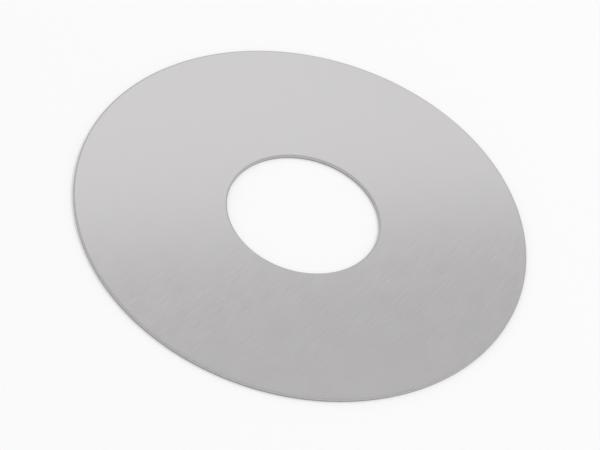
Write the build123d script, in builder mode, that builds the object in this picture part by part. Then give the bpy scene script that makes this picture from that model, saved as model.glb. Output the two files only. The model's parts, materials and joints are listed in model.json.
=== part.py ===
"""A shim ring: a flat, thin spring-steel ring blanked from cold-rolled strip.

It slips over a damper shaft and takes up height in a stack, between two flat faces.
The origin is the centre of the bore in the lower face, and +Z runs along the bore.

What makes the ring more than a flat disc is its section. One stroke of a compound die
cuts the bore and the rim together, so both walls have the same zones from the top down:
    die roll   the strip is drawn down at the edge before it shears
    land       the burnished band that is sheared, which is the true bore and rim
    breakout   the strip breaks off here, and the wall leans back into the metal
    break      the burr is tumbled off, which leaves a small round
"""

import os

from build123d import *

# Sizes of the ring, in millimetres.
outer_diameter = 36.0
shaft_diameter = 12.0  # the shaft that the ring slips over
shaft_clearance = 0.075  # all round, between the shaft and the bore
thickness = 0.3

# Sizes of the blanked walls, which are the same at the rim and at the bore.
roll_width = 0.12  # the die roll, measured across the face
roll_depth = 0.05  # the die roll, measured down the wall
land_height = 0.11
breakout = 0.012  # how far the wall has leant back at its foot
edge_break = 0.02  # radius of the tumbled lower corner

rim_radius = outer_diameter / 2
bore_radius = shaft_diameter / 2 + shaft_clearance
land_top = thickness - roll_depth
land_foot = land_top - land_height


def blanked_wall(land_radius, into_metal):
    """Draws one wall of the section, and returns its upper and its lower end.

    into_metal is +1 where the metal lies outside land_radius, as at the bore, and -1
    where it lies inside, as at the rim.
    """
    face_end = (land_radius + into_metal * roll_width, thickness)
    foot_end = (land_radius + into_metal * breakout, 0)
    # The die roll leaves the face level and curves down to the land.
    TangentArc(face_end, (land_radius, land_top), tangent=(-into_metal, 0))
    Polyline((land_radius, land_top), (land_radius, land_foot), foot_end)
    return face_end, foot_end


# The ring is turned from its section, which lies in the +X half of the XZ plane.
with BuildPart() as shim_ring:
    with BuildSketch(Plane.XZ) as section:
        with BuildLine():
            bore_top, bore_foot = blanked_wall(bore_radius, into_metal=+1)
            rim_top, rim_foot = blanked_wall(rim_radius, into_metal=-1)
            Line(bore_top, rim_top)
            Line(bore_foot, rim_foot)
        make_face()
        lower_corners = section.vertices().group_by(Axis.Y)[0]
        fillet(lower_corners, radius=edge_break)
    revolve(axis=Axis.Z)

os.makedirs("parts", exist_ok=True)
shim_ring.part.label = "shim_ring"
export_step(shim_ring.part, "parts/shim_ring.step")
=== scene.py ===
"""The looks of the shim ring: bright cold-rolled spring steel on a white table.

One piece, steel_ring, stands for the CAD node. It is spun from the ring's blanked section
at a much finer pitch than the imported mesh, and each zone of the section has its own finish.
"""

import json
import math
import random

import bmesh
import bpy
from mathutils import Matrix, Vector


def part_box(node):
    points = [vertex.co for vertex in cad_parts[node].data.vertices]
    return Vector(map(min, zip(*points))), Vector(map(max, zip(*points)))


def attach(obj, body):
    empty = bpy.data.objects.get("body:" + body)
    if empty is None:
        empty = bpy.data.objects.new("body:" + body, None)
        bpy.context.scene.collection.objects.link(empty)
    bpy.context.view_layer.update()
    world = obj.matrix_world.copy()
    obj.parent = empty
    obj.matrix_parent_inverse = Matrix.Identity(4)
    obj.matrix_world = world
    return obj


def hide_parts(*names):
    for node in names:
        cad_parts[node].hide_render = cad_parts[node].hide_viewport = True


MM = 0.001

# ---------------------------------------------------------------- the frame and its sizes
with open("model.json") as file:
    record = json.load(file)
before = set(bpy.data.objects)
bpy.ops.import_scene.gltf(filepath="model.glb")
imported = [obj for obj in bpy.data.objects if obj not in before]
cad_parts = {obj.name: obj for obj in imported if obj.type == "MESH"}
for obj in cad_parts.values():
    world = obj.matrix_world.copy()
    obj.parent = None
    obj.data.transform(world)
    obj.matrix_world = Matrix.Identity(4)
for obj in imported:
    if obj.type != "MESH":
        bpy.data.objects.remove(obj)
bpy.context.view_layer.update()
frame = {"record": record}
ring_low, ring_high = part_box("shim_ring")
mounts = {mount["name"]: mount for mount in frame["record"]["mounts"]}

rim_radius = ring_high.x
bore_radius = mounts["bore"]["dims"]["r_mm"] * MM
face_height = ring_high.z
foot_height = ring_low.z

# The blanked walls, from the face down, as in the CAD section.
roll_width = 0.12 * MM
roll_depth = 0.05 * MM
land_height = 0.11 * MM
breakout_lean = 0.012 * MM  # how far the wall's foot leans into the metal
corner_radius = 0.02 * MM
zones = ("face", "roll", "land", "torn")  # also the order of the ring's materials

# ---------------------------------------------------------------- how fine the mesh is
segments = 720
face_rings = 26
roll_steps = 8
land_steps = 3
breakout_steps = 6
corner_steps = 5
face_margin = 0.03 * MM  # a narrow flat band that keeps the face's shading level at its edge
tear_depth = 0.004 * MM  # how far the torn breakout is pitted
tear_seed = 36

# ---------------------------------------------------------------- the camera
view_elevation = math.radians(46.3)
view_distance = 0.165
picture_roll = math.radians(17.55)
ring_share_of_width = 0.77  # how much of the picture's width the ring takes up

# ---------------------------------------------------------------- the steel
# The scales are the patterns' waves per metre. The ranges go from a pattern's low parts to
# its high ones: the tones multiply the colour.
steel_colour = (0.66, 0.646, 0.648)

grain_turn = math.radians(-67)  # brings the strip's rolling direction onto X
grain_scale = (500, 11000, 500)  # long in the rolling direction, and fine across it
grain_tones = (0.982, 1.018)
grain_roughness = (0.12, 0.175)
grain_depth = 0.00025 * MM
mottle_scale = (420, 420, 420)
mottle_tones = (0.99, 1.01)
mottle_roughness = (-0.008, 0.008)  # added to the grain's

nick_places = ((-5.8 * MM, -12.0 * MM), (-3.5 * MM, -15.9 * MM))
nick_radius = 0.15 * MM
nick_roughness = 0.6

tumbled_scale = (2500, 2500, 2500)
tumbled_tones = (0.78, 0.86)
tumbled_roughness = (0.28, 0.38)

wiped_scale = (22000, 22000, 600)  # fine lines that stand upright on the wall
# The land's tones follow its fine lines and sit well under the face's: that darkening is painted
# shade on the upright wall, since the wiped land itself is bright.
wiped_tones_and_painted_shade = (0.72, 0.88)
wiped_roughness = (0.22, 0.36)

torn_scale = (14000, 14000, 14000)
# The torn band's tones are partly its own dull grey and partly painted shade, which darkens the
# upright wall further.
torn_grey_and_painted_shade = (0.5, 0.75)
torn_roughness = (0.45, 0.65)
torn_grit = 0.004 * MM  # the depth of the bump, over the pits in the mesh

# ---------------------------------------------------------------- the stage
background_white = 0.975  # just under the white that a picture can hold
room_fill = 0.6  # how strongly the room lights the ring

floor_half_width = 2.0
floor_white = 0.72
floor_lift = 0.255  # what brings the paper, lit by the lamp, up to the background's white
sweep_start, sweep_end = 0.05, 0.3  # the floor fades into the background between these

softbox_height = 0.9
softbox_turn = math.radians(30)
softbox_edge_slope = math.radians(46.9)  # so its far edge is mirrored near the ring's middle
softbox_half_width = softbox_height / math.tan(softbox_edge_slope) * math.cos(softbox_turn)
softbox_level = 0.64
softbox_glow = Vector((0.14, 0.1, 0))  # where the cloth is brightest, in its own plane
softbox_glows = ((0.7, 0.2), (0.25, 0.15))  # radius and gain of the lamp's two glows on it

wall_radius = 1.2
wall_panels = 96
wall_slopes = (math.radians(8.5), math.radians(43))  # below and above, as seen from the ring
wall_fade_start = math.radians(32)  # from here up, the wall fades into the background
wall_levels = (0.55, 1.0)  # of its darkest and its brightest patches
wall_patch_size = 0.24

lamp_place = Vector((0.36, 0.28, 0.76))
lamp_width = 0.4
lamp_watts = 2.3


# ---------------------------------------------------------------- the section
def arc(centre, radius, start, stop, steps):
    """Points on a round arc in the section, without its first point."""
    turn = (stop - start) / steps
    angles = [start + turn * i for i in range(1, steps + 1)]
    return [(centre[0] + radius * math.cos(a), centre[1] + radius * math.sin(a)) for a in angles]


def straight(start, stop, steps):
    """Points on a straight line in the section, without its first point."""
    shares = [i / steps for i in range(1, steps + 1)]
    return [tuple(a + (b - a) * s for a, b in zip(start, stop)) for s in shares]


def blanked_wall(land_radius, into_metal):
    """One wall of the section: its (zone, points) runs downwards, its top and its foot.

    into_metal is +1 where the metal lies outside land_radius, as at the bore, and -1 where
    it lies inside, as at the rim.
    """
    land_top = (land_radius, face_height - roll_depth)
    land_foot = (land_radius, face_height - roll_depth - land_height)
    face_end = (land_radius + into_metal * roll_width, face_height)
    wall_foot_radius = land_radius + into_metal * breakout_lean

    # The die roll is the arc that is level at the face and passes through the land's top.
    roll_radius = (roll_width**2 + roll_depth**2) / (2 * roll_depth)
    roll_angle = math.asin(roll_width / roll_radius)
    roll_centre = (face_end[0], face_height - roll_radius)
    upright = math.pi / 2
    roll = arc(roll_centre, roll_radius, upright, upright + into_metal * roll_angle, roll_steps)

    # The tumbled corner rounds off the foot, whose wall leans a little into the metal.
    lean = math.atan(breakout_lean / (land_foot[1] - foot_height))
    corner_angle = upright - lean
    reach = corner_radius * math.tan(corner_angle / 2)
    corner_centre = (wall_foot_radius + into_metal * reach, foot_height + corner_radius)
    level = math.pi if into_metal > 0 else 0
    start = level + into_metal * lean
    stop = start + into_metal * corner_angle
    corner_start = (
        corner_centre[0] + corner_radius * math.cos(start),
        corner_centre[1] + corner_radius * math.sin(start),
    )
    corner = arc(corner_centre, corner_radius, start, stop, corner_steps)
    runs = [
        ("roll", roll),
        ("land", straight(land_top, land_foot, land_steps)),
        ("torn", straight(land_foot, corner_start, breakout_steps)),
        ("roll", corner),
    ]
    return runs, face_end, corner[-1]


def level_run(start, stop):
    """The points across a flat face, without its first, and with a narrow band at each end."""
    margin = math.copysign(face_margin, stop[0] - start[0])
    inner = (start[0] + margin, start[1])
    outer = (stop[0] - margin, stop[1])
    return [inner] + straight(inner, outer, face_rings) + [stop]


def closed_section():
    """The whole section as (zone, point) pairs, clockwise from the bore's edge of the face."""
    bore_runs, bore_top, bore_foot = blanked_wall(bore_radius, +1)
    rim_runs, rim_top, rim_foot = blanked_wall(rim_radius, -1)
    points = [("face", p) for p in level_run(bore_top, rim_top)]
    for zone, run in rim_runs:
        points += [(zone, p) for p in run]
    points += [("face", p) for p in level_run(rim_foot, bore_foot)]
    # The bore's wall is climbed, so its runs are turned about. A step keeps its own zone.
    descent = [bore_top]
    descent_zones = []
    for zone, run in bore_runs:
        descent += run
        descent_zones += [zone] * len(run)
    return points + list(zip(reversed(descent_zones), reversed(descent[:-1])))


def spin_section(section):
    """The ring's mesh. Every face takes its material from the zone of its later point.

    The points inside the breakout are pushed into the metal by chance, as if torn.
    """
    dice = random.Random(tear_seed)
    mesh = bmesh.new()
    columns = []
    for i in range(segments):
        turn = 2 * math.pi * i / segments
        across = Vector((math.cos(turn), math.sin(turn), 0))
        column = []
        for j, (zone, (radius, height)) in enumerate(section):
            next_zone = section[(j + 1) % len(section)][0]
            if zone == "torn" and next_zone == "torn":
                into_metal = 1 if radius < (bore_radius + rim_radius) / 2 else -1
                radius += into_metal * dice.random() * tear_depth
            column.append(mesh.verts.new(across * radius + Vector((0, 0, height))))
        columns.append(column)
    for i in range(segments):
        here, there = columns[i], columns[(i + 1) % segments]
        for j, (zone, _) in enumerate(section):
            face = mesh.faces.new((here[j - 1], here[j], there[j], there[j - 1]))
            face.material_index = zones.index(zone)
            face.smooth = True
    mesh.normal_update()
    return mesh


# ---------------------------------------------------------------- materials
class Nodes:
    """Short names for building a material's nodes."""

    def __init__(self, name):
        self.material = bpy.data.materials.new(name)
        self.material.use_nodes = True
        self.tree = self.material.node_tree
        self.shader = self.tree.nodes["Principled BSDF"]
        self.place = self.add("ShaderNodeTexCoord").outputs["Object"]

    def add(self, kind, **settings):
        node = self.tree.nodes.new(kind)
        for key, value in settings.items():
            setattr(node, key, value)
        return node

    def link(self, output, socket):
        self.tree.links.new(output, socket)

    def stretched(self, scale, turn=0.0):
        """The place on the ring, turned about Z and then scaled, as a pattern's coordinates."""
        turned = self.add("ShaderNodeMapping", vector_type="POINT")
        turned.inputs["Rotation"].default_value = (0, 0, turn)
        self.link(self.place, turned.inputs["Vector"])
        scaled = self.add("ShaderNodeMapping", vector_type="POINT")
        scaled.inputs["Scale"].default_value = scale
        self.link(turned.outputs["Vector"], scaled.inputs["Vector"])
        return scaled.outputs["Vector"]

    def noise(self, place, detail, rough=0.5):
        node = self.add("ShaderNodeTexNoise")
        node.inputs["Scale"].default_value = 1.0
        node.inputs["Detail"].default_value = detail
        node.inputs["Roughness"].default_value = rough
        self.link(place, node.inputs["Vector"])
        return node.outputs["Fac"]

    def spread(self, value, low, high, from_low=0.3, from_high=0.7):
        """Maps a value from one range to another, and by default from where noise mostly is."""
        node = self.add("ShaderNodeMapRange")
        node.inputs["From Min"].default_value = from_low
        node.inputs["From Max"].default_value = from_high
        node.inputs["To Min"].default_value = low
        node.inputs["To Max"].default_value = high
        self.link(value, node.inputs["Value"])
        return node.outputs["Result"]

    def math(self, operation, first, second):
        node = self.add("ShaderNodeMath", operation=operation)
        for socket, value in zip(node.inputs, (first, second)):
            if isinstance(value, (int, float)):
                socket.default_value = value
            else:
                self.link(value, socket)
        return node.outputs["Value"]

    def off(self, point):
        """How far the place on the piece is from a point."""
        node = self.add("ShaderNodeVectorMath", operation="DISTANCE")
        self.link(self.place, node.inputs[0])
        node.inputs[1].default_value = point
        return node.outputs["Value"]

    def steel(self, tone, roughness):
        """Makes the shader steel, with its colour times a tone."""
        tinted = self.add("ShaderNodeVectorMath", operation="SCALE")
        tinted.inputs[0].default_value = steel_colour
        self.link(tone, tinted.inputs["Scale"])
        self.link(tinted.outputs["Vector"], self.shader.inputs["Base Color"])
        self.shader.inputs["Metallic"].default_value = 1.0
        self.link(roughness, self.shader.inputs["Roughness"])

    def bump(self, height, depth):
        node = self.add("ShaderNodeBump")
        node.inputs["Strength"].default_value = 1.0
        node.inputs["Distance"].default_value = depth
        self.link(height, node.inputs["Height"])
        self.link(node.outputs["Normal"], self.shader.inputs["Normal"])


def nicks(n):
    """The roughness of the small nicks in the upper face: matt in their middle, 0 elsewhere."""
    roughness = 0.0
    for x, y in nick_places:
        off = n.off((x, y, face_height))
        matt = n.spread(off, nick_roughness, 0.0, nick_radius / 2, nick_radius)
        roughness = n.math("MAXIMUM", roughness, matt)
    return roughness


def rolled_face():
    """The strip's cold-rolled face: satin, with fine straight grain and faint mottling."""
    n = Nodes("rolled_face")
    grain = n.noise(n.stretched(grain_scale, grain_turn), detail=3.0, rough=0.65)
    mottle = n.noise(n.stretched(mottle_scale), detail=4.0, rough=0.6)
    tone = n.math("MULTIPLY", n.spread(grain, *grain_tones), n.spread(mottle, *mottle_tones))
    satin = n.math(
        "ADD", n.spread(grain, *grain_roughness), n.spread(mottle, *mottle_roughness)
    )
    n.steel(tone, n.math("MAXIMUM", satin, nicks(n)))
    n.bump(grain, grain_depth)
    return n.material


def die_roll():
    """The drawn and tumbled corners: stretched skin, a little duller than the rolled face."""
    n = Nodes("die_roll")
    mottle = n.noise(n.stretched(tumbled_scale), detail=3.0)
    n.steel(n.spread(mottle, *tumbled_tones), n.spread(mottle, *tumbled_roughness))
    return n.material


def burnished_land():
    """The sheared band, wiped smooth by the die, with fine upright lines; its colour is darkened
    as painted shade on the wall, since the wiped land itself is bright.
    """
    n = Nodes("burnished_land")
    lines = n.noise(n.stretched(wiped_scale), detail=2.0)
    n.steel(n.spread(lines, *wiped_tones_and_painted_shade), n.spread(lines, *wiped_roughness))
    return n.material


def torn_breakout():
    """The band where the strip broke off: matt and finely torn, and grey, partly its own dull
    grey and partly painted shade on the wall.
    """
    n = Nodes("torn_breakout")
    tears = n.noise(n.stretched(torn_scale), detail=4.0, rough=0.7)
    n.steel(n.spread(tears, *torn_grey_and_painted_shade), n.spread(tears, *torn_roughness))
    n.bump(tears, torn_grit)
    return n.material


# ---------------------------------------------------------------- the piece
def make_ring():
    spun = spin_section(closed_section())
    data = bpy.data.meshes.new("steel_ring")
    spun.to_mesh(data)
    spun.free()
    ring = bpy.data.objects.new("steel_ring", data)
    bpy.context.scene.collection.objects.link(ring)
    finishes = {
        "face": rolled_face(),
        "roll": die_roll(),
        "land": burnished_land(),
        "torn": torn_breakout(),
    }
    for zone in zones:
        data.materials.append(finishes[zone])
    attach(ring, "root")
    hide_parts("shim_ring")


# ---------------------------------------------------------------- the stage's pieces
def stage_mesh(name, corners, faces, material):
    data = bpy.data.meshes.new(name)
    data.from_pydata(corners, [], faces)
    data.materials.append(material)
    piece = bpy.data.objects.new(name, data)
    bpy.context.scene.collection.objects.link(piece)
    return piece


def level_sheet(name, half_width, height, turn, material):
    """A level square sheet, centred on the ring's axis."""
    signs = ((-1, -1), (1, -1), (1, 1), (-1, 1))
    corners = [(x * half_width, y * half_width, 0) for x, y in signs]
    sheet = stage_mesh(name, corners, [(0, 1, 2, 3)], material)
    sheet.location = (0, 0, height)
    sheet.rotation_euler = (0, 0, turn)


def round_wall(name, radius, slopes, material):
    """An upright wall all round, between two slopes seen from the ring."""
    corners = []
    for i in range(wall_panels):
        turn = 2 * math.pi * i / wall_panels
        for slope in slopes:
            height = radius * math.tan(slope)
            corners.append((radius * math.cos(turn), radius * math.sin(turn), height))
    total = len(corners)
    faces = [(i, (i + 2) % total, (i + 3) % total, i + 1) for i in range(0, total, 2)]
    stage_mesh(name, corners, faces, material)


class StageNodes(Nodes):
    """A stage material, with no Principled shader."""

    def __init__(self, name):
        super().__init__(name)
        self.tree.nodes.remove(self.shader)
        self.out = self.tree.nodes["Material Output"].inputs["Surface"]

    def glow(self, strength):
        node = self.add("ShaderNodeEmission")
        self.link(strength, node.inputs["Strength"])
        return node.outputs["Emission"]


def shows_background(tree):
    """1 for rays straight from the camera, mirrored ones and those let through, else 0."""
    path = tree.nodes.new("ShaderNodeLightPath")
    shown = path.outputs["Is Camera Ray"]
    for kind in ("Is Glossy Ray", "Is Transmission Ray"):
        either = tree.nodes.new("ShaderNodeMath")
        either.operation = "MAXIMUM"
        tree.links.new(shown, either.inputs[0])
        tree.links.new(path.outputs[kind], either.inputs[1])
        shown = either.outputs["Value"]
    return shown


def white_paper():
    """The floor: paper that is lifted to white as a background, over its own shading.

    Away from the ring it fades into the background, as a paper sweep does.
    """
    n = StageNodes("white_paper")
    shown = shows_background(n.tree)
    paper = n.add("ShaderNodeBsdfDiffuse")
    paper.inputs["Color"].default_value = (floor_white, floor_white, floor_white, 1)
    lifted = n.add("ShaderNodeAddShader")
    n.link(paper.outputs["BSDF"], lifted.inputs[0])
    n.link(n.glow(n.spread(shown, 0.0, floor_lift, 0, 1)), lifted.inputs[1])
    sweep = n.add("ShaderNodeMixShader")
    n.link(n.spread(n.off((0, 0, 0)), 0, 1, sweep_start, sweep_end), sweep.inputs["Fac"])
    n.link(lifted.outputs["Shader"], sweep.inputs[1])
    n.link(n.glow(n.spread(shown, room_fill, background_white, 0, 1)), sweep.inputs[2])
    n.link(sweep.outputs["Shader"], n.out)
    return n.material


def softbox_cloth():
    """White cloth, lit evenly but for the lamp's glow near its middle."""
    n = StageNodes("softbox_cloth")
    off = n.off(softbox_glow)
    level = softbox_level
    for radius, gain in softbox_glows:
        level = n.math("ADD", level, n.spread(off, gain, 0.0, 0.0, radius))
    n.link(n.glow(level), n.out)
    return n.material


def studio_wall():
    """A white wall, softly and unevenly lit, which fades into the background at its top."""
    n = StageNodes("studio_wall")
    patches = n.spread(n.noise(n.stretched([1 / wall_patch_size] * 3), detail=0.0), *wall_levels)
    height = n.add("ShaderNodeSeparateXYZ")
    n.link(n.place, height.inputs["Vector"])
    fade_start, fade_end = (
        wall_radius * math.tan(slope) for slope in (wall_fade_start, wall_slopes[1])
    )
    fade = n.spread(height.outputs["Z"], 0, 1, fade_start, fade_end)
    to_white = n.math("MULTIPLY", fade, n.math("SUBTRACT", background_white, patches))
    n.link(n.glow(n.math("ADD", patches, to_white)), n.out)
    return n.material


def white_room():
    """The world: white as a background, and dimmer in the light that it casts."""
    world = bpy.data.worlds.new("white_room")
    world.use_nodes = True
    tree = world.node_tree
    strength = tree.nodes.new("ShaderNodeMapRange")
    strength.inputs["To Min"].default_value = room_fill
    strength.inputs["To Max"].default_value = background_white
    tree.links.new(shows_background(tree), strength.inputs["Value"])
    background = tree.nodes["Background"]
    background.inputs["Color"].default_value = (1, 1, 1, 1)
    tree.links.new(strength.outputs["Result"], background.inputs["Strength"])
    return world


def key_lamp():
    """A soft lamp from behind on the right, which casts the ring's short shadow.

    The steel mirrors the softbox and the wall instead of this small square.
    """
    light = bpy.data.lights.new("key_lamp", "AREA")
    light.shape = "SQUARE"
    light.size = lamp_width
    light.energy = lamp_watts
    lamp = bpy.data.objects.new("key_lamp", light)
    lamp.location = lamp_place
    lamp.rotation_euler = (-lamp_place).to_track_quat("-Z", "Y").to_euler()
    lamp.visible_glossy = False
    bpy.context.scene.collection.objects.link(lamp)


def make_stage():
    level_sheet("floor", floor_half_width, foot_height, 0.0, white_paper())
    level_sheet("softbox", softbox_half_width, softbox_height, softbox_turn, softbox_cloth())
    round_wall("studio_wall", wall_radius, wall_slopes, studio_wall())
    key_lamp()
    bpy.context.scene.world = white_room()


def make_camera():
    """Looks down on the ring from the near side, rolled so that the ring leans in the picture."""
    camera = bpy.data.objects.new("camera", bpy.data.cameras.new("camera"))
    bpy.context.scene.collection.objects.link(camera)
    down, along = math.sin(view_elevation), math.cos(view_elevation)
    centre = Vector((0, 0, face_height))
    eye = centre + Vector((0, -along, down)) * view_distance
    near = centre - Vector((0, rim_radius, 0)) - eye
    far = centre + Vector((0, rim_radius, 0)) - eye
    ahead = near.normalized() + far.normalized()
    aim = ahead.to_track_quat("-Z", "Y").to_matrix().to_4x4()
    camera.matrix_world = Matrix.Translation(eye) @ aim @ Matrix.Rotation(picture_roll, 4, "Z")
    camera.data.lens = (
        camera.data.sensor_width * ring_share_of_width * view_distance / (2 * rim_radius)
    )
    camera.data.clip_start = view_distance / 100
    camera.data.clip_end = view_distance * 100
    bpy.context.scene.camera = camera


make_ring()
make_stage()
make_camera()
bpy.context.scene.view_settings.view_transform = "Standard"

# ---------------------------------------------------------------- finish
bpy.context.view_layer.update()
